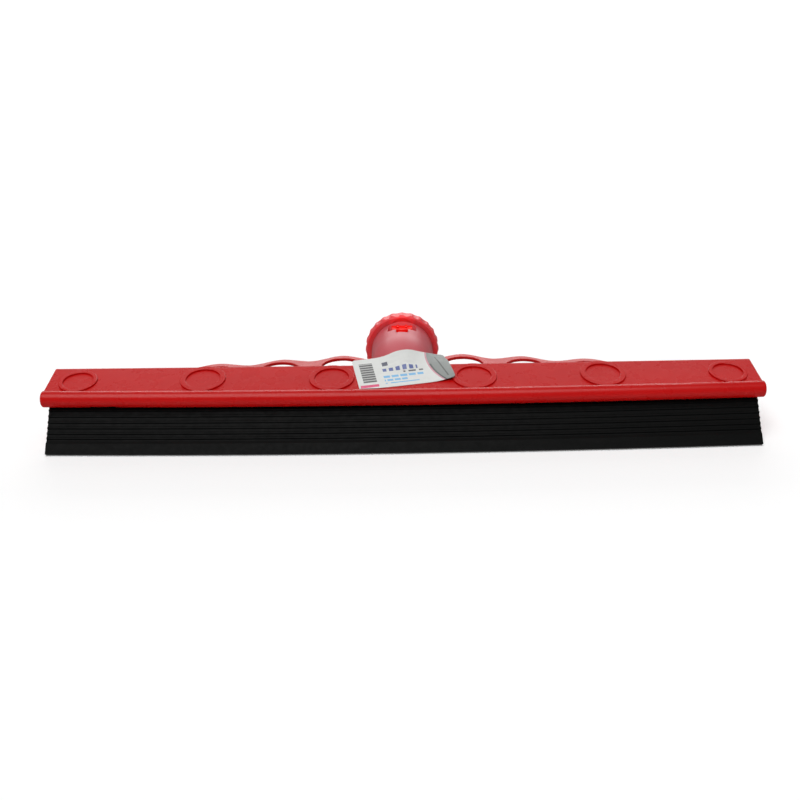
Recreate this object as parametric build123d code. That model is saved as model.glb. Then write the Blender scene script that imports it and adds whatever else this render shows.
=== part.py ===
"""Floor and window squeegee head, 350 mm wide, with a broom-handle socket.

All sizes are in millimetres.  +X runs along the bar, +Y points back out of the handle
socket, +Z is up.  The head lies as it rests on a table: the rubber edge and the underside
of the collar both touch z = 0, and the origin is under the middle of the bounding box.
"""
import math
import os

from build123d import *

# ---------------------------------------------------------------- driving dimensions
LENGTH = 350.0                  # bar, end to end
BOW_R = 4500.0                  # the bar bulges forward in the middle by about 3.4 mm
WALL = 2.2                      # shell wall

BEAD_C = (-29.3, 23.2)          # centre of the rounded front lip in (y, z)
BEAD_R = 4.0
LIP_BACK_Y = -21.6              # where the lip's underside turns up to the deck
SHELL_FRONT_Y = -20.6           # front edge of the shell's foot
FACE_Y0, FACE_Z0 = -27.45, 26.15    # a point on the face plane
FACE_SLOPE = 0.1572             # rise of the face per mm towards the handle
SECTION_BACK_Y = 14.0           # sections run past the back edge and are trimmed in plan
REAR_Y, REAR_Y_END = -3.6, -1.8     # back edge of the face at the middle and at the ends
REAR_EDGE_R, END_EDGE_R = 1.5, 0.8

DECK_TOP, DECK_THK = 20.5, 1.6  # perforated deck; the shell stands on its top
DECK_FRONT_Y, DECK_SAG = -20.4, 3.4
DECK_EDGE_R = 0.45
WING_ROOT_X, WING_ROOT_Y = 128.0, -2.3
WING_MID_Y = 25.5               # wing outline where it runs under the tube
WING = ((32.0, 30.9), (48.0, 23.95), (64.0, 26.6), (80.0, 19.6), (96.0, 22.2), (112.0, 13.0))
HOLES = ((32.0, 16.4, 10.5), (64.0, 12.6, 10.0), (96.0, 9.2, 9.0))     # x, y, radius
RIB_Y, RIB_THK = 1.2, 2.0       # long stiffener under the deck
RIB_OUTLINE = ((12, 6.0), (12, 19.0), (118, 19.0), (118, 17.4), (30, 8.5))      # x, z

TIP_Y, TIP_Z = -44.65, 1.157    # squeegee edge, front corner
BLADE_ANGLE = 50.0              # rubber leans forward, measured from the horizontal
BLADE_LEN = 345.0
BLADE_TOP = 29.5                # height of the rubber along its own slope
TIP_THK = 1.8
BASE_T0, BASE_T1 = 0.8, 3.8     # front and back of the rubber's thick base
ANCHOR_T = 5.8                  # back of the bead held in the head
ANCHOR_S = 24.2                 # where that bead starts
RIB_S = (21.9, 19.0, 16.0, 13.2, 10.5, 8.0)     # grip ribs on the rubber's front

TUBE_Z = 20.0                   # height of the socket axis
TUBE_R = 16.5
TUBE_Y0, TUBE_END = -4.0, 44.1
NOSE_Y = 18.0                   # the straight barrel ends here and the nose starts to dip
BUSH_R = 13.6
BUSH_Y0, BUSH_Y1 = 8.0, 43.4
BUSH_FLOOR = 2.0
THREAD_ROOT_R = 11.9
PAD_W, PAD_L, PAD_Y = 11.4, 5.6, 32.8       # latch pad that fills the window
PAD_TOP = 15.6                  # its height over the axis
NUB_X, NUB_R = 2.2, 0.8         # pair of small ridges on the pad
WINDOW = ((7.0, 29.3), (6.4, 36.2))     # half width at the front and back of the latch window
TAB_X, TAB_Y = 2.2, 24.6        # the window's small forward notch

COLLAR_Y0, COLLAR_Y1 = 37.95, 44.65
COLLAR_R0, COLLAR_R1 = 19.1, 20.0
COLLAR_GAP = 0.05
SCALLOPS = 24
SCALLOP_R, SCALLOP_DEPTH = 6.0, 0.5
SNAP_Y = 41.2                   # bead on the tube that keeps the collar on
SNAP_RAISE, SNAP_W = 0.5, 1.4
LENS_R, LENS_DROP = 6.0, 12.8   # hollow in the collar's near face above the window

RING_Y = -16.05                 # screw line, also the middle of the raised rings
RINGS = ((35.0, 11.2, 8.3), (98.5, 11.2, 8.3), (160.0, 9.4, 7.3))      # x, outer, inner radius
RING_RAISE, RING_DEPTH = 0.75, 1.75
RING_EDGE_R = 0.35
BOSS_R, BOSS_H, BOSS_Z = 4.0, 7.4, 24.2
PILOT_DEPTH, PILOT_Z = 5.01, 23.0       # screw holes in the bosses
WEBS = (25, 52, 80, 117, 140)   # cross walls inside the shell

STRIP_BACK_Y, STRIP_Z = -8.2, 15.6      # clamp strip's back and its underside
SCREW_SHANK_R, SCREW_LEN, SCREW_MID_Z = 1.5, 9.8, 20.5
SCREW_HEAD_R, SCREW_HEAD_H = 3.1, 1.9

LABEL_W, LABEL_H, LABEL_THK = 47.5, 27.3, 0.18
LABEL_X, LABEL_Y, LABEL_TURN = 0.05, -10.2, 10.2
LABEL_CORNER_R = 2.0
LABEL_GAP = 0.07                # glue line
LABEL_LIFT = 0.55               # air under the paper where it bridges the nose
LABEL_CURL, LABEL_DROOP = 1.8, 2.6      # free corners: near right lifts, far right hangs

# ---------------------------------------------------------------- helpers
BOW_Y = BEAD_C[0] + BOW_R


def blade_point(s, t):
    """A point s up the rubber from its tip and t back from its front plane."""
    a = math.radians(BLADE_ANGLE)
    y = TIP_Y + s * math.cos(a) + t * math.sin(a)
    z = TIP_Z + s * math.sin(a) - t * math.cos(a)
    return (y, z)


def face_z(y):
    """Height of the front face plane at depth y."""
    return FACE_Z0 + (y - FACE_Y0) * FACE_SLOPE


def profile(points):
    """A closed face in the YZ plane."""
    return make_face(Polyline(*[(0, y, z) for y, z in points], close=True))


def bowed(section, half):
    """Sweep a YZ section along the bowed bar and cut it square at x = -half and +half."""
    swing = math.degrees(math.asin(min(1.0, (half + 12) / (BOW_R - 40))))
    start = Pos(0, BOW_Y, 0) * Rot(0, 0, -swing) * Pos(0, -BOW_Y, 0) * section
    bar = revolve(start, axis=Axis((0, BOW_Y, 0), (0, 0, 1)), revolution_arc=2 * swing)
    return bar & Pos(0, 0, 20) * Box(2 * half, 200, 200)


def at_bar(x):
    """Move something modelled at x = 0 along the bowed bar to x."""
    turn = math.degrees(math.asin(x / (BOW_Y - RING_Y)))
    return Pos(0, BOW_Y, 0) * Rot(0, 0, turn) * Pos(0, -BOW_Y, 0)


def at_screws(z, shape):
    """Copies of a shape at height z on the six screw axes."""
    return [at_bar(sx * x) * Pos(0, RING_Y, z) * shape for x, _, _ in RINGS for sx in (-1, 1)]


def rod_y(radius, y0, y1):
    """A cylinder on the socket axis from y0 to y1."""
    return Pos(0, (y0 + y1) / 2, TUBE_Z) * Rot(90, 0, 0) * Cylinder(radius, y1 - y0)


def nose_path():
    """Centre line of the socket's front."""
    start, end = (0, NOSE_Y, TUBE_Z), (0, -7.45, 12.6)
    return Spline(start, (0, 8.5, 17.9), end, tangents=[(0, -1, 0), (0, -1, -0.37)])


def nose(radius):
    """The front of the socket, dipping under the face."""
    disc = Plane(origin=(0, NOSE_Y, TUBE_Z), z_dir=(0, -1, 0)) * Circle(radius)
    keep = Pos(0, 0, DECK_TOP + 15) * Box(60, 60, 30)
    return sweep(disc, path=nose_path()) & keep


def outer_section():
    """Outside of the shell: rounded lip, sloping face, open back (trimmed in plan later)."""
    y, z = BEAD_C
    lean = math.atan(FACE_SLOPE)
    drop = (face_z(y) - z) * math.cos(lean)
    turn = math.pi / 2 + lean - math.acos(drop / BEAD_R)
    crest = (0, y + BEAD_R * math.cos(turn), z + BEAD_R * math.sin(turn))
    foot = (0, y, z - BEAD_R)
    lip = ThreePointArc(crest, (0, y - BEAD_R, z), foot)
    back = SECTION_BACK_Y
    rest = Polyline(foot, (0, LIP_BACK_Y, z - BEAD_R), (0, SHELL_FRONT_Y, DECK_TOP), (0, back, DECK_TOP),
                    (0, back, face_z(back)), crest)
    return make_face(lip + rest)


def plan(inset=0.0, z0=0.0, z1=60.0):
    """The bar seen from above, its back edge bowed a little less than its front."""
    h = LENGTH / 2 - inset
    back = ThreePointArc((-h, REAR_Y_END - inset), (0, REAR_Y - inset), (h, REAR_Y_END - inset))
    rest = Polyline((h, REAR_Y_END - inset), (h, -60), (-h, -60), (-h, REAR_Y_END - inset))
    return Pos(0, 0, z0) * extrude(make_face(back + rest), amount=z1 - z0)


# ---------------------------------------------------------------- head shell
outer = bowed(outer_section(), LENGTH / 2) & plan()
rear_edges = [e for e in outer.edges() if e.center().Z > 28.5 and e.length > 300]
outer = fillet(rear_edges, REAR_EDGE_R)
at_end = LENGTH / 2 - 0.01
end_edges = [e for e in outer.edges() if abs(e.center().X) > at_end and e.center().Z > DECK_TOP + 0.2]
outer = fillet(end_edges, END_EDGE_R)

for x, ro, ri in RINGS:
    cy = FACE_Y0 + ro - 0.3
    band = Cylinder(ro, RING_DEPTH) - Cylinder(ri, RING_DEPTH)
    band = fillet(band.edges().group_by(Axis.Z)[-1], RING_EDGE_R)
    tilt = Pos(0, cy, face_z(cy)) * Rot(math.degrees(math.atan(FACE_SLOPE)), 0, 0)
    for sx in (-1, 1):
        outer = outer + at_bar(sx * x) * tilt * Pos(0, 0, RING_RAISE - RING_DEPTH / 2) * band

low = blade_point(6, BASE_T0)
cavity = profile([low, blade_point(30.4, BASE_T0), (-24.0, face_z(-24.0) - WALL),
                  (SECTION_BACK_Y, face_z(SECTION_BACK_Y) - WALL), (SECTION_BACK_Y, low[1])])
cavity = bowed(cavity, LENGTH / 2 - WALL) & plan(WALL)
bosses = at_screws(BOSS_Z, Cylinder(BOSS_R, BOSS_H))
webs = [Pos(sx * x, -12.6, 25.0) * Box(1.8, 13.5, 9.0) for x in WEBS for sx in (-1, 1)]
inside = outer & Compound(bosses + webs)
shell = outer - cavity + inside
shell = shell - nose(TUBE_R)
shell = shell - at_screws(PILOT_Z, Cylinder(SCREW_SHANK_R, PILOT_DEPTH))

# ---------------------------------------------------------------- perforated deck
h = LENGTH / 2
corner_y = DECK_FRONT_Y + DECK_SAG
front = ThreePointArc((h, corner_y), (0, DECK_FRONT_Y), (-h, corner_y))
side_r = Polyline((h, corner_y), (h, REAR_Y_END), (WING_ROOT_X, WING_ROOT_Y))
side_l = mirror(side_r, about=Plane.YZ)
wing_r = Spline((WING_ROOT_X, WING_ROOT_Y), *reversed(WING), (19.0, WING_MID_Y), (0, WING_MID_Y),
                tangents=[(-1, 0.35), (-1, 0)])
wing_l = mirror(wing_r, about=Plane.YZ)
deck_face = make_face(front + side_r + wing_r + wing_l + side_l)
deck = Pos(0, 0, DECK_TOP - DECK_THK) * extrude(deck_face, amount=DECK_THK)
for x, y, r in HOLES:
    for sx in (-1, 1):
        deck = deck - Pos(sx * x, y, DECK_TOP) * Cylinder(r, 6)
top_edges = [e for e in deck.edges() if abs(e.center().Z - DECK_TOP) < 2]
wing_edges = [e for e in top_edges if e.length > 40 and e.center().Y > 3]
rims = [e for e in deck.edges().filter_by(GeomType.CIRCLE) if e.radius < 11]
deck = fillet(wing_edges + rims, DECK_EDGE_R)
rib_plane = Plane(origin=(0, RIB_Y, 0), x_dir=(1, 0, 0), z_dir=(0, -1, 0))
for sx in (-1, 1):
    rib = Polyline(*[(sx * x, z) for x, z in RIB_OUTLINE], close=True)
    deck = deck + extrude(rib_plane * make_face(rib), amount=RIB_THK)
deck = deck - rod_y(TUBE_R, TUBE_Y0, 60) - nose(TUBE_R)
deck = deck - at_screws(DECK_TOP, Cylinder(SCREW_SHANK_R, 6))

# ---------------------------------------------------------------- socket tube
low_half = Pos(0, 0, DECK_TOP - 25) * Box(80, 200, 50)
ahead = Pos(0, -25.5, 20) * Box(80, 60, 80)
tube = (rod_y(TUBE_R, TUBE_Y0, TUBE_END) & low_half) + rod_y(TUBE_R, NOSE_Y, TUBE_END) + nose(TUBE_R)
tube = tube - (nose(BUSH_R) & ahead) - (rod_y(BUSH_R, TUBE_Y0 + 2.5, 4.5) & low_half)
snap = Pos(0, SNAP_Y, TUBE_Z) * Rot(90, 0, 0) * Cylinder(TUBE_R + SNAP_RAISE, SNAP_W)
tube = tube + chamfer(snap.edges(), 0.4)
tube = tube - rod_y(BUSH_R, BUSH_Y0, 60)
(near_x, near_y), (far_x, far_y) = WINDOW
half_window = [(TAB_X, TAB_Y), (TAB_X, near_y), (near_x, near_y), (far_x, far_y)]
window = make_face(Polyline(*half_window, *[(-x, y) for x, y in reversed(half_window)], close=True))
tube = tube - Pos(0, 0, TUBE_Z + BUSH_R - 1.4) * extrude(window, amount=7, taper=-16)
mouth = [e for e in tube.edges().filter_by(GeomType.CIRCLE) if e.center().Y > TUBE_END - 0.1]
tube = chamfer(mouth, 0.5)

# ---------------------------------------------------------------- threaded bush with its latch
bush = rod_y(BUSH_R, BUSH_Y0, BUSH_Y1) - rod_y(THREAD_ROOT_R, BUSH_Y0 + BUSH_FLOOR, 60)
pad = Pos(0, PAD_Y, TUBE_Z + PAD_TOP - 2.0) * Box(PAD_W, PAD_L, 4.0)
bush = bush + (fillet(pad.edges().group_by(Axis.Z)[-1], 0.7) - rod_y(BUSH_R - 0.5, 0, 60))
for sx in (-1, 1):
    bush = bush + Pos(sx * NUB_X, PAD_Y, TUBE_Z + PAD_TOP) * Rot(90, 0, 0) * Cylinder(NUB_R, PAD_L - 2.4)

# ---------------------------------------------------------------- collar
sides = [(0, TUBE_R + COLLAR_GAP, COLLAR_Y0), (0, COLLAR_R0, COLLAR_Y0), (0, COLLAR_R1, COLLAR_Y0 + 2.2),
         (0, COLLAR_R1, COLLAR_Y1 - 0.8), (0, COLLAR_R1 - 0.8, COLLAR_Y1),
         (0, TUBE_R + COLLAR_GAP, COLLAR_Y1)]
ring_face = make_face(Polyline(*[(0, y, TUBE_Z + r) for _, r, y in sides], close=True))
collar = revolve(ring_face, axis=Axis((0, 0, TUBE_Z), (0, 1, 0)), revolution_arc=360)
collar = collar - Pos(0, SNAP_Y, TUBE_Z) * Rot(90, 0, 0) * Cylinder(TUBE_R + SNAP_RAISE + 0.06, SNAP_W + 0.5)
collar = collar - Pos(0, COLLAR_Y0, TUBE_Z + LENS_DROP) * Rot(90, 0, 0) * Cylinder(LENS_R, 3.2)
for i in range(SCALLOPS):
    a = 360 / SCALLOPS * (i + 0.5)
    reach = COLLAR_R1 + SCALLOP_R - SCALLOP_DEPTH
    notch = Pos(0, 0, -reach) * Rot(90, 0, 0) * Cylinder(SCALLOP_R, 12)
    notch = Pos(0, SNAP_Y, TUBE_Z) * Rot(0, a, 0) * notch
    collar = collar - notch

# ---------------------------------------------------------------- clamp strip
foot = DECK_TOP - DECK_THK
behind = ANCHOR_T + 0.3
jaw = [blade_point(16.5, BASE_T1), blade_point(ANCHOR_S - 0.3, BASE_T1), blade_point(ANCHOR_S - 0.3, behind),
       (blade_point(28.3, behind)[0], foot), (STRIP_BACK_Y, foot), (STRIP_BACK_Y, STRIP_Z),
       (-20.3, STRIP_Z), (-24.6, STRIP_Z - 4), blade_point(16.5, 5.4)]
strip = bowed(profile(jaw), BLADE_LEN / 2)
strip = strip - at_screws(foot, Cylinder(SCREW_SHANK_R, 12))

# ---------------------------------------------------------------- rubber blade
pts = [(0.0, 0.0), (5.2, 0.0), (6.6, BASE_T0)]
for s in sorted(RIB_S):
    pts += [(s - 0.75, BASE_T0), (s - 0.35, BASE_T0 - 0.5), (s + 0.35, BASE_T0 - 0.5), (s + 0.75, BASE_T0)]
pts += [(BLADE_TOP, BASE_T0), (BLADE_TOP, ANCHOR_T), (ANCHOR_S, ANCHOR_T), (ANCHOR_S, BASE_T1),
        (7.0, BASE_T1), (0.0, TIP_THK)]
blade = bowed(profile([blade_point(s, t) for s, t in pts]), BLADE_LEN / 2)

# ---------------------------------------------------------------- screws
screw = Pos(0, 0, SCREW_MID_Z) * Cylinder(SCREW_SHANK_R, SCREW_LEN)
head = fillet(Cylinder(SCREW_HEAD_R, SCREW_HEAD_H).edges().group_by(Axis.Z)[0], 0.7)
screw = screw + Pos(0, 0, STRIP_Z - SCREW_HEAD_H / 2) * head
screw = screw - Pos(0, 0, STRIP_Z - SCREW_HEAD_H) * (Box(3.2, 0.7, 1.6) + Box(0.7, 3.2, 1.6))
screws = Compound(at_screws(0, screw))

# ---------------------------------------------------------------- label
def ramp(value, start, end):
    """0 before start, 1 after end, smooth between."""
    t = min(1.0, max(0.0, (value - start) / (end - start)))
    return t * t * (3 - 2 * t)


spine = nose_path()
spine_points = [(spine @ (i / 60), spine % (i / 60)) for i in range(61)]


def nose_top(x, y):
    """Height of the socket's nose over (x, y), or a very low number beside it."""
    point, along = min(spine_points, key=lambda pair: abs(pair[0].Y - y))
    if abs(x) >= TUBE_R or y < point.Y - 1:
        return -99.0
    return point.Z + math.sqrt(TUBE_R ** 2 - x ** 2) / abs(along.Y)


def paper_z(u, v, x, y):
    """Underside of the paper: glued to the face, bent over the nose, loose at its right corners."""
    far = ramp(v, -LABEL_H / 2, LABEL_H / 2)
    curl = LABEL_CURL * ramp(u, 15, LABEL_W / 2 + 1) * (1 - far)
    droop = LABEL_DROOP * ramp(u, 14, LABEL_W / 2) * ramp(y, REAR_Y, 7)
    flat = face_z(y) + LABEL_GAP + curl - droop
    lip = BEAD_C[1] + math.sqrt(max(0.0, BEAD_R ** 2 - (y - BEAD_C[0]) ** 2)) + 2 * LABEL_GAP
    return max(flat, lip, nose_top(x, y) + LABEL_LIFT)


turn = math.radians(LABEL_TURN)
COLUMNS, ROWS = 24, 16
spots = {}
for i in range(COLUMNS + 1):
    for j in range(ROWS + 1):
        u, v = (i / COLUMNS - 0.5) * (LABEL_W + 1), (j / ROWS - 0.5) * (LABEL_H + 1)
        x = LABEL_X + u * math.cos(turn) - v * math.sin(turn)
        y = LABEL_Y + u * math.sin(turn) + v * math.cos(turn)
        spots[i, j] = (x, y, paper_z(u, v, x, y))
heights = {place: z for place, (x, y, z) in spots.items()}
for _ in range(8):      # ease the bends along the paper without sinking into what is below
    eased = {}
    for (i, j), z in heights.items():
        across = (heights.get((i - 1, j), z) + heights.get((i + 1, j), z)) / 2
        eased[i, j] = max(spots[i, j][2], (across + z) / 2)
    heights = eased
grid = [[Vector(*spots[i, j][:2], heights[i, j]) for j in range(ROWS + 1)] for i in range(COLUMNS + 1)]
paper = Face.make_surface_from_array_of_points(grid, tol=0.03)
paper = extrude(paper, amount=LABEL_THK, dir=(0, 0, 1))
outline = extrude(RectangleRounded(LABEL_W, LABEL_H, LABEL_CORNER_R), amount=25)
label = paper & Pos(LABEL_X, LABEL_Y, 20) * Rot(0, 0, LABEL_TURN) * outline

# ---------------------------------------------------------------- write one STEP per piece
PARTS = {
    "head_shell": shell,
    "wing_deck": deck,
    "socket_tube": tube,
    "thread_bush": bush,
    "lock_collar": collar,
    "clamp_strip": strip,
    "rubber_blade": blade,
    "clamp_screws": screws,
    "label": label,
}

os.makedirs("parts", exist_ok=True)
for name, shape in PARTS.items():
    export_step(shape, f"parts/{name}.step")
    box = shape.bounding_box()
    print(name, len(shape.solids()), "solids", round(shape.volume, 1), box.min, box.max)
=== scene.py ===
"""Looks of the red squeegee head: glossy moulded plastic, black rubber and a paper label."""

import math

import bpy
from mathutils import Matrix, Vector


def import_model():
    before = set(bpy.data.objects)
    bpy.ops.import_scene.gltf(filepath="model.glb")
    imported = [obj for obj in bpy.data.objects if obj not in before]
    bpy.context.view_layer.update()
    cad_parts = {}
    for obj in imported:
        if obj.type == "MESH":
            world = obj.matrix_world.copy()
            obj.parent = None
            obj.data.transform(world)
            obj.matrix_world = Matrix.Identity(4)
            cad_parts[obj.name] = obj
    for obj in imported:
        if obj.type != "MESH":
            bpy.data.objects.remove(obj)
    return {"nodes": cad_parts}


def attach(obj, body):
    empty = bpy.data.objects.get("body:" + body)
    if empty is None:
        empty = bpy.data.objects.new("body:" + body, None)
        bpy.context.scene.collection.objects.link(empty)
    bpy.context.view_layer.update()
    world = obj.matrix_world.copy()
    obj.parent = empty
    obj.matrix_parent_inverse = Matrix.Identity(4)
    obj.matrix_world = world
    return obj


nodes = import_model()["nodes"]
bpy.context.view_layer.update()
MM = 0.001
scene = bpy.context.scene


# ---------------------------------------------------------------- small helpers
def add_object(name, data):
    made = bpy.data.objects.new(name, data)
    scene.collection.objects.link(made)
    return made


def add_mesh(name, verts, faces):
    mesh = bpy.data.meshes.new(name)
    mesh.from_pydata(verts, [], faces)
    mesh.validate()
    return add_object(name, mesh)


class Graph:
    """A material's node tree with short calls for the nodes used here."""

    def __init__(self, name):
        self.material = bpy.data.materials.new(name)
        self.material.use_nodes = True
        self.tree = self.material.node_tree
        self.shader = self.tree.nodes["Principled BSDF"]
        self.where = self.tree.nodes.new("ShaderNodeTexCoord").outputs["Object"]

    def link(self, source, target):
        self.tree.links.new(source, target)

    def noise(self, scale, detail=3.0, rough=0.5, stretch=(1, 1, 1)):
        mapping = self.tree.nodes.new("ShaderNodeMapping")
        mapping.inputs["Scale"].default_value = stretch
        self.link(self.where, mapping.inputs["Vector"])
        node = self.tree.nodes.new("ShaderNodeTexNoise")
        node.inputs["Scale"].default_value = scale
        node.inputs["Detail"].default_value = detail
        node.inputs["Roughness"].default_value = rough
        self.link(mapping.outputs["Vector"], node.inputs["Vector"])
        return node.outputs["Fac"]

    def distance(self, point):
        """How far the surface is from a point of the part."""
        node = self.tree.nodes.new("ShaderNodeVectorMath")
        node.operation = "DISTANCE"
        node.inputs[1].default_value = point
        self.link(self.where, node.inputs[0])
        return node.outputs["Value"]

    def span(self, value, low, high, to_low, to_high):
        """Map one range to another, clamped."""
        node = self.tree.nodes.new("ShaderNodeMapRange")
        node.inputs["From Min"].default_value = low
        node.inputs["From Max"].default_value = high
        node.inputs["To Min"].default_value = to_low
        node.inputs["To Max"].default_value = to_high
        self.link(value, node.inputs["Value"])
        return node.outputs["Result"]

    def mix(self, factor, first, second):
        node = self.tree.nodes.new("ShaderNodeMix")
        node.data_type = "RGBA"
        self.put(factor, node.inputs["Factor"])
        self.put(first, node.inputs["A"])
        self.put(second, node.inputs["B"])
        return node.outputs["Result"]

    def put(self, value, socket):
        if isinstance(value, bpy.types.NodeSocket):
            self.link(value, socket)
        elif isinstance(value, (int, float)):
            socket.default_value = value
        else:
            socket.default_value = (*value, 1.0)

    def math(self, operation, first, second):
        node = self.tree.nodes.new("ShaderNodeMath")
        node.operation = operation
        for value, socket in ((first, node.inputs[0]), (second, node.inputs[1])):
            self.put(value, socket)
        return node.outputs["Value"]

    def bump(self, *heights):
        """Chain bump maps given as (height socket, strength, distance in metres)."""
        last = None
        for height, strength, distance in heights:
            node = self.tree.nodes.new("ShaderNodeBump")
            node.inputs["Strength"].default_value = strength
            node.inputs["Distance"].default_value = distance
            self.link(height, node.inputs["Height"])
            if last is not None:
                self.link(last, node.inputs["Normal"])
            last = node.outputs["Normal"]
        self.link(last, self.shader.inputs["Normal"])

    def set(self, name, value):
        self.put(value, self.shader.inputs[name])


# ---------------------------------------------------------------- materials
LATCH = (0, 35.0 * MM, 36.0 * MM)     # middle of the latch window


def red_plastic(name, deep, bright, gloss, level=0.22, latch_glow=0.0, milky=0.04):
    """Injection-moulded plastic: faint flow marks, fine skin, a few faint random patches of painted whitish
    sheen.

    latch_glow: strength of a painted glow, an emission around the latch window that stands in for light
    shining through the slim walls there.
    milky: how much light spreads inside the wall.
    """
    g = Graph(name)
    flow = g.span(g.noise(38, 3, 0.45, (0.35, 1, 1)), 0.2, 0.8, 0, 1)
    colour = g.mix(flow, deep, bright)
    # Painted sheen: a few faint random patches mixed toward a paler, whitish red, standing in for a whitish
    # reflection.
    sheen_haze = g.span(g.noise(110, 5, 0.6, (0.6, 1, 1)), 0.5, 0.85, 0, 0.015)
    g.set("Base Color", g.mix(sheen_haze, colour, (0.62, 0.10, 0.09)))
    g.set("Roughness", g.span(g.noise(150, 4, 0.5), 0.25, 0.8, gloss, gloss + 0.09))
    g.shader.inputs["IOR"].default_value = 1.49
    g.shader.inputs["Specular IOR Level"].default_value = level
    g.shader.inputs["Subsurface Weight"].default_value = milky
    g.shader.inputs["Subsurface Radius"].default_value = (0.9, 0.1, 0.1)
    g.shader.inputs["Subsurface Scale"].default_value = 0.002 + 0.006 * milky
    # Painted glow: a red emission that fades with distance from the latch window and stands in for light
    # shining through the walls there.
    if latch_glow:
        latch_glow_falloff = g.span(g.distance(LATCH), 4.5 * MM, 8.5 * MM, 1, 0)
        g.set("Emission Color", (1.0, 0.012, 0.006))
        g.set("Emission Strength", g.math("MULTIPLY", latch_glow_falloff, latch_glow))
    g.bump((g.noise(60, 2), 0.03, 0.0004), (g.noise(1500, 2), 0.04, 0.0001))
    return g.material


def black_rubber(name):
    """Matt rubber with a little dust along its length."""
    g = Graph(name)
    dust = g.span(g.noise(260, 6, 0.65, (0.25, 1, 1)), 0.5, 0.85, 0, 0.35)
    g.set("Base Color", g.mix(dust, (0.0024, 0.0026, 0.0025), (0.009, 0.008, 0.007)))
    g.set("Roughness", g.span(g.noise(420, 4), 0.3, 0.7, 0.38, 0.56))
    g.shader.inputs["Specular IOR Level"].default_value = 0.07
    g.bump((g.noise(180, 3, 0.5, (0.2, 1, 1)), 0.25, 0.0003), (g.noise(2600, 3), 0.2, 0.0001))
    return g.material


def zinc(name):
    """Plated screw steel."""
    g = Graph(name)
    g.set("Base Color", g.mix(g.noise(900, 4), (0.46, 0.46, 0.45), (0.68, 0.68, 0.66)))
    g.set("Metallic", 1.0)
    g.set("Roughness", g.span(g.noise(1400, 3, 0.5, (1, 1, 0.2)), 0.3, 0.7, 0.26, 0.44))
    g.bump((g.noise(2200, 3), 0.15, 0.0001),)
    return g.material


RED_DEEP, RED_BRIGHT = (0.46, 0.0030, 0.0030), (0.55, 0.005, 0.0045)
BUSH_DEEP, BUSH_BRIGHT = (0.72, 0.006, 0.004), (0.82, 0.010, 0.006)
TUBE_DEEP, TUBE_BRIGHT = (0.54, 0.080, 0.100), (0.61, 0.105, 0.125)
RING_DEEP, RING_BRIGHT = (0.76, 0.055, 0.065), (0.84, 0.070, 0.080)
PAINT = {
    "head_shell": red_plastic("red_plastic", RED_DEEP, RED_BRIGHT, 0.24),
    "wing_deck": red_plastic("red_plastic_deck", RED_DEEP, RED_BRIGHT, 0.24),
    # Tube, bush and collar get a painted glow around the latch window.
    "socket_tube": red_plastic("red_plastic_tube", TUBE_DEEP, TUBE_BRIGHT, 0.38, level=0.8, latch_glow=0.2),
    "thread_bush": red_plastic("red_plastic_bush", BUSH_DEEP, BUSH_BRIGHT, 0.18, level=0.4, latch_glow=0.25),
    "lock_collar": red_plastic("red_plastic_collar", RING_DEEP, RING_BRIGHT, 0.30, level=0.5, latch_glow=0.2,
                               milky=0.6),
    "clamp_strip": red_plastic("red_plastic_strip", (0.40, 0.003, 0.003), RED_BRIGHT, 0.3),
    "rubber_blade": black_rubber("black_rubber"),
    "clamp_screws": zinc("zinc_steel"),
}
for node, material in PAINT.items():
    nodes[node].data.materials.clear()
    nodes[node].data.materials.append(material)

# ---------------------------------------------------------------- label
LABEL_W, LABEL_H = 47.5 * MM, 27.3 * MM
LABEL_CENTRE, LABEL_TURN = (0.05 * MM, -10.2 * MM, 0.0), math.radians(10.2)
NAVY, SKY, PINK = (0.02, 0.06, 0.30), (0.10, 0.42, 0.75), (0.72, 0.02, 0.15)
# The soft black on the next line is painted shade for the label's fold.
BLACK, FOLD_SHADE, GREY = (0.02, 0.02, 0.03), (0.05, 0.05, 0.05), (0.17, 0.19, 0.18)
# Rows of dashes: u from and to, v from and to, dashes per label width, share inked, ink.
ROWS = (
    (0.29, 0.66, 0.51, 0.60, 14, 0.62, NAVY),
    (0.50, 0.71, 0.43, 0.48, 9, 0.7, BLACK),
    (0.28, 0.70, 0.30, 0.37, 11, 0.8, SKY),
    (0.28, 0.52, 0.19, 0.25, 13, 0.8, SKY),
    (0.28, 0.66, 0.11, 0.14, 3, 0.9, SKY),
)


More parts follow.
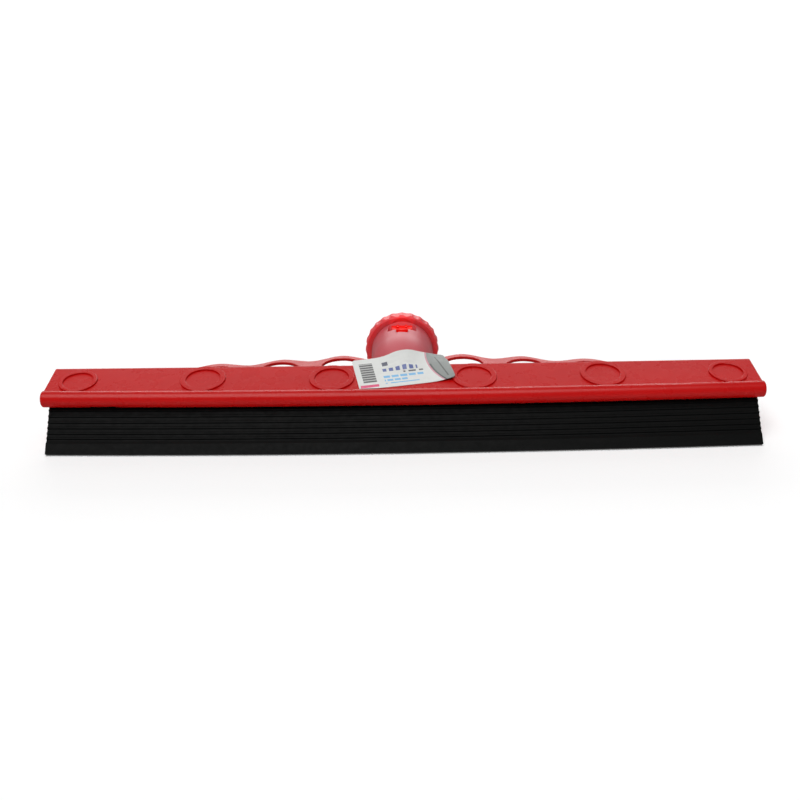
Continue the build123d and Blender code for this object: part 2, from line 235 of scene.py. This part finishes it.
def label_paper():
    """Plain generic print: grey bars, blocks and short dashes, no lettering."""
    g = Graph("label_print_and_fold_shade")
    place = g.tree.nodes.new("ShaderNodeMapping")
    place.vector_type = "TEXTURE"
    place.inputs["Location"].default_value = LABEL_CENTRE
    place.inputs["Rotation"].default_value = (0, 0, LABEL_TURN)
    place.inputs["Scale"].default_value = (LABEL_W, LABEL_H, 1)
    g.link(g.where, place.inputs["Vector"])
    parts = g.tree.nodes.new("ShaderNodeSeparateXYZ")
    g.link(place.outputs["Vector"], parts.inputs["Vector"])
    u, v = g.math("ADD", parts.outputs["X"], 0.5), g.math("ADD", parts.outputs["Y"], 0.5)

    def inside(value, low, high):
        """1 between low and high."""
        above = g.math("GREATER_THAN", value, low)
        return g.math("MULTIPLY", above, g.math("LESS_THAN", value, high))

    def block(u0, u1, v0, v1):
        return g.math("MULTIPLY", inside(u, u0, u1), inside(v, v0, v1))

    def bars(value, count, inked, offset=0.0):
        """Equal stripes, inked over the share given."""
        phase = g.math("FRACT", g.math("MULTIPLY", g.math("ADD", value, offset), count), 0)
        return g.math("LESS_THAN", phase, inked)

    # Lays a tone over the colour under it: print colour, and at the fold, painted shade.
    def print_and_shade_over(under, mask, strength, tone):
        return g.mix(g.math("MULTIPLY", mask, strength), under, tone)

    colour = g.mix(g.noise(300, 4), (0.66, 0.67, 0.65), (0.73, 0.74, 0.72))
    stripes = block(0.06, 0.20, 0.20, 0.84)
    colour = print_and_shade_over(colour, stripes, 0.35, (0.10, 0.10, 0.10))
    colour = print_and_shade_over(colour, g.math("MULTIPLY", stripes, bars(v, 13, 0.62, 0.02)), 0.85, (0.03, 0.03, 0.03))
    colour = print_and_shade_over(colour, block(0.02, 0.21, 0.05, 0.13), 0.9, PINK)
    for u0, u1, v0, v1, count, inked, tone in ROWS:
        dashes = g.math("MULTIPLY", block(u0, u1, v0, v1), bars(u, count, inked))
        colour = print_and_shade_over(colour, dashes, 0.85, tone)
    colour = print_and_shade_over(colour, block(0.30, 0.36, 0.68, 0.80), 0.85, (0.02, 0.03, 0.08))

    # grey end with a curved border, then painted shade where the flap folds away from the light: a dark line
    # along that border and a dark fold line
    bow = g.math("MULTIPLY", g.math("POWER", g.math("SUBTRACT", v, 0.72), 2), -0.20)
    bulge = g.math("ADD", u, bow)
    colour = print_and_shade_over(colour, inside(bulge, 0.772, 0.79), 0.6, (0.55, 0.03, 0.14))
    colour = print_and_shade_over(colour, inside(bulge, 0.79, 1.6), 0.85, GREY)
    fold_edge_shade = g.math("MULTIPLY", inside(bulge, 0.79, 0.81), inside(v, 0, 0.6))
    fold = g.math("ADD", u, g.math("MULTIPLY", v, 0.07))
    crease_shade = g.math("MULTIPLY", inside(fold, 0.935, 0.95), inside(v, 0.1, 0.85))
    colour = print_and_shade_over(colour, g.math("MAXIMUM", fold_edge_shade, crease_shade), 0.75, FOLD_SHADE)
    g.set("Base Color", colour)
    g.set("Roughness", g.span(g.noise(500, 3), 0.3, 0.7, 0.34, 0.5))
    g.bump((g.noise(70, 3), 0.25, 0.0005), (g.noise(1800, 4), 0.12, 0.0001))
    return g.material


nodes["label"].data.materials.clear()
nodes["label"].data.materials.append(label_paper())

# ---------------------------------------------------------------- thread inside the bush
AXIS_Z = 20.0 * MM
THREAD_ROOT, THREAD_CREST, THREAD_PITCH = 11.95 * MM, 10.8 * MM, 5.0 * MM
THREAD_START, THREAD_END = 12 * MM, 41 * MM
HALF_ROOT, HALF_CREST = 1.15 * MM, 0.45 * MM    # half widths of the ridge's section
STEPS_PER_TURN = 72


def thread_ridge():
    """One trapezoid ridge wound along the inside of the bush."""
    section = ((THREAD_ROOT, -HALF_ROOT), (THREAD_CREST, -HALF_CREST), (THREAD_CREST, HALF_CREST),
               (THREAD_ROOT, HALF_ROOT))
    count = int((THREAD_END - THREAD_START) / THREAD_PITCH * STEPS_PER_TURN)
    verts, faces = [], []
    for k in range(count + 1):
        angle = 2 * math.pi * k / STEPS_PER_TURN
        y = THREAD_START + THREAD_PITCH * k / STEPS_PER_TURN
        for radius, shift in section:
            verts.append((radius * math.cos(angle), y + shift, AXIS_Z + radius * math.sin(angle)))
        if k:
            a, b = 4 * (k - 1), 4 * k
            for s in range(4):
                t = (s + 1) % 4
                faces.append((a + s, b + s, b + t, a + t))
    last = 4 * count
    faces += [(0, 1, 2, 3), (last + 3, last + 2, last + 1, last)]
    return add_mesh("thread_ridge", verts, faces)


ridge = thread_ridge()
ridge.data.materials.append(PAINT["thread_bush"])
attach(ridge, "head")


# ---------------------------------------------------------------- floor, light, camera
FLOOR_HALF, DOME_RADIUS = 60.0, 12.0


def floor():
    """A white floor, a little brighter to the camera than the light on it makes it."""
    s = FLOOR_HALF
    made = add_mesh("floor", [(-s, -s, 0), (s, -s, 0), (s, s, 0), (-s, s, 0)], [(0, 1, 2, 3)])
    g = Graph("floor_white")
    g.set("Base Color", g.mix(g.noise(3), (0.90, 0.90, 0.90), (0.93, 0.93, 0.93)))
    g.set("Roughness", 0.9)
    g.shader.inputs["Specular IOR Level"].default_value = 0.1
    g.set("Emission Color", (1.0, 1.0, 1.0))
    g.set("Emission Strength", 0.12)
    made.data.materials.append(g.material)
    made.visible_glossy = False
    return made


def backdrop():
    """A white dome far behind everything that only the camera sees."""
    bpy.ops.mesh.primitive_uv_sphere_add(segments=48, ring_count=24, radius=DOME_RADIUS)
    dome = bpy.context.object
    dome.name = "backdrop"
    g = Graph("backdrop_white")
    g.set("Base Color", (0, 0, 0))
    g.set("Emission Color", (1.0, 1.0, 1.0))
    g.set("Emission Strength", 0.96)
    dome.data.materials.append(g.material)
    dome.visible_diffuse = dome.visible_glossy = dome.visible_transmission = dome.visible_shadow = False
    return dome


def softbox(name, place, wide, deep, power):
    """A rectangular light aimed at the part."""
    light = bpy.data.lights.new(name, "AREA")
    light.shape = "RECTANGLE"
    light.size, light.size_y = wide, deep
    light.energy = power
    made = add_object(name, light)
    made.location = place
    made.rotation_euler = (-Vector(place)).to_track_quat("-Z", "Y").to_euler()
    return made


def soft_sun(name, toward, strength, spread):
    """A broad, even light from the direction given."""
    light = bpy.data.lights.new(name, "SUN")
    light.energy = strength
    light.angle = math.radians(spread)
    made = add_object(name, light)
    made.rotation_euler = Vector(toward).to_track_quat("Z", "Y").to_euler()
    return made


floor()
backdrop()
soft_sun("key", (-0.15, -0.30, 1.0), 2.25, 50)
softbox("behind", (0, 7.3, 3.0), 7.0, 2.2, 150)
softbox("high behind", (0, 5.6, 5.2), 7.0, 3.0, 35)
world = bpy.data.worlds.new("studio")
scene.world = world
world.use_nodes = True
world.node_tree.nodes["Background"].inputs["Color"].default_value = (1, 1, 1, 1)
world.node_tree.nodes["Background"].inputs["Strength"].default_value = 0.20

PITCH, ROLL = math.radians(25.0), math.radians(-0.84)
AIM = Vector((-1.6 * MM, -29.9 * MM, 21.85 * MM))
DISTANCE, FOCAL_PX, FRAME_PX, SENSOR = 0.460, 955.0, 800.0, 36.0
camera_data = bpy.data.cameras.new("camera")
camera = add_object("camera", camera_data)
camera_data.sensor_width = SENSOR
camera_data.lens = SENSOR * FOCAL_PX / FRAME_PX
look = Vector((0, math.cos(PITCH), -math.sin(PITCH)))
camera.location = AIM - look * DISTANCE
camera.rotation_mode = "QUATERNION"
camera.rotation_quaternion = look.to_track_quat("-Z", "Y") @ Matrix.Rotation(ROLL, 4, "Z").to_quaternion()
scene.camera = camera
scene.view_settings.view_transform = "Standard"
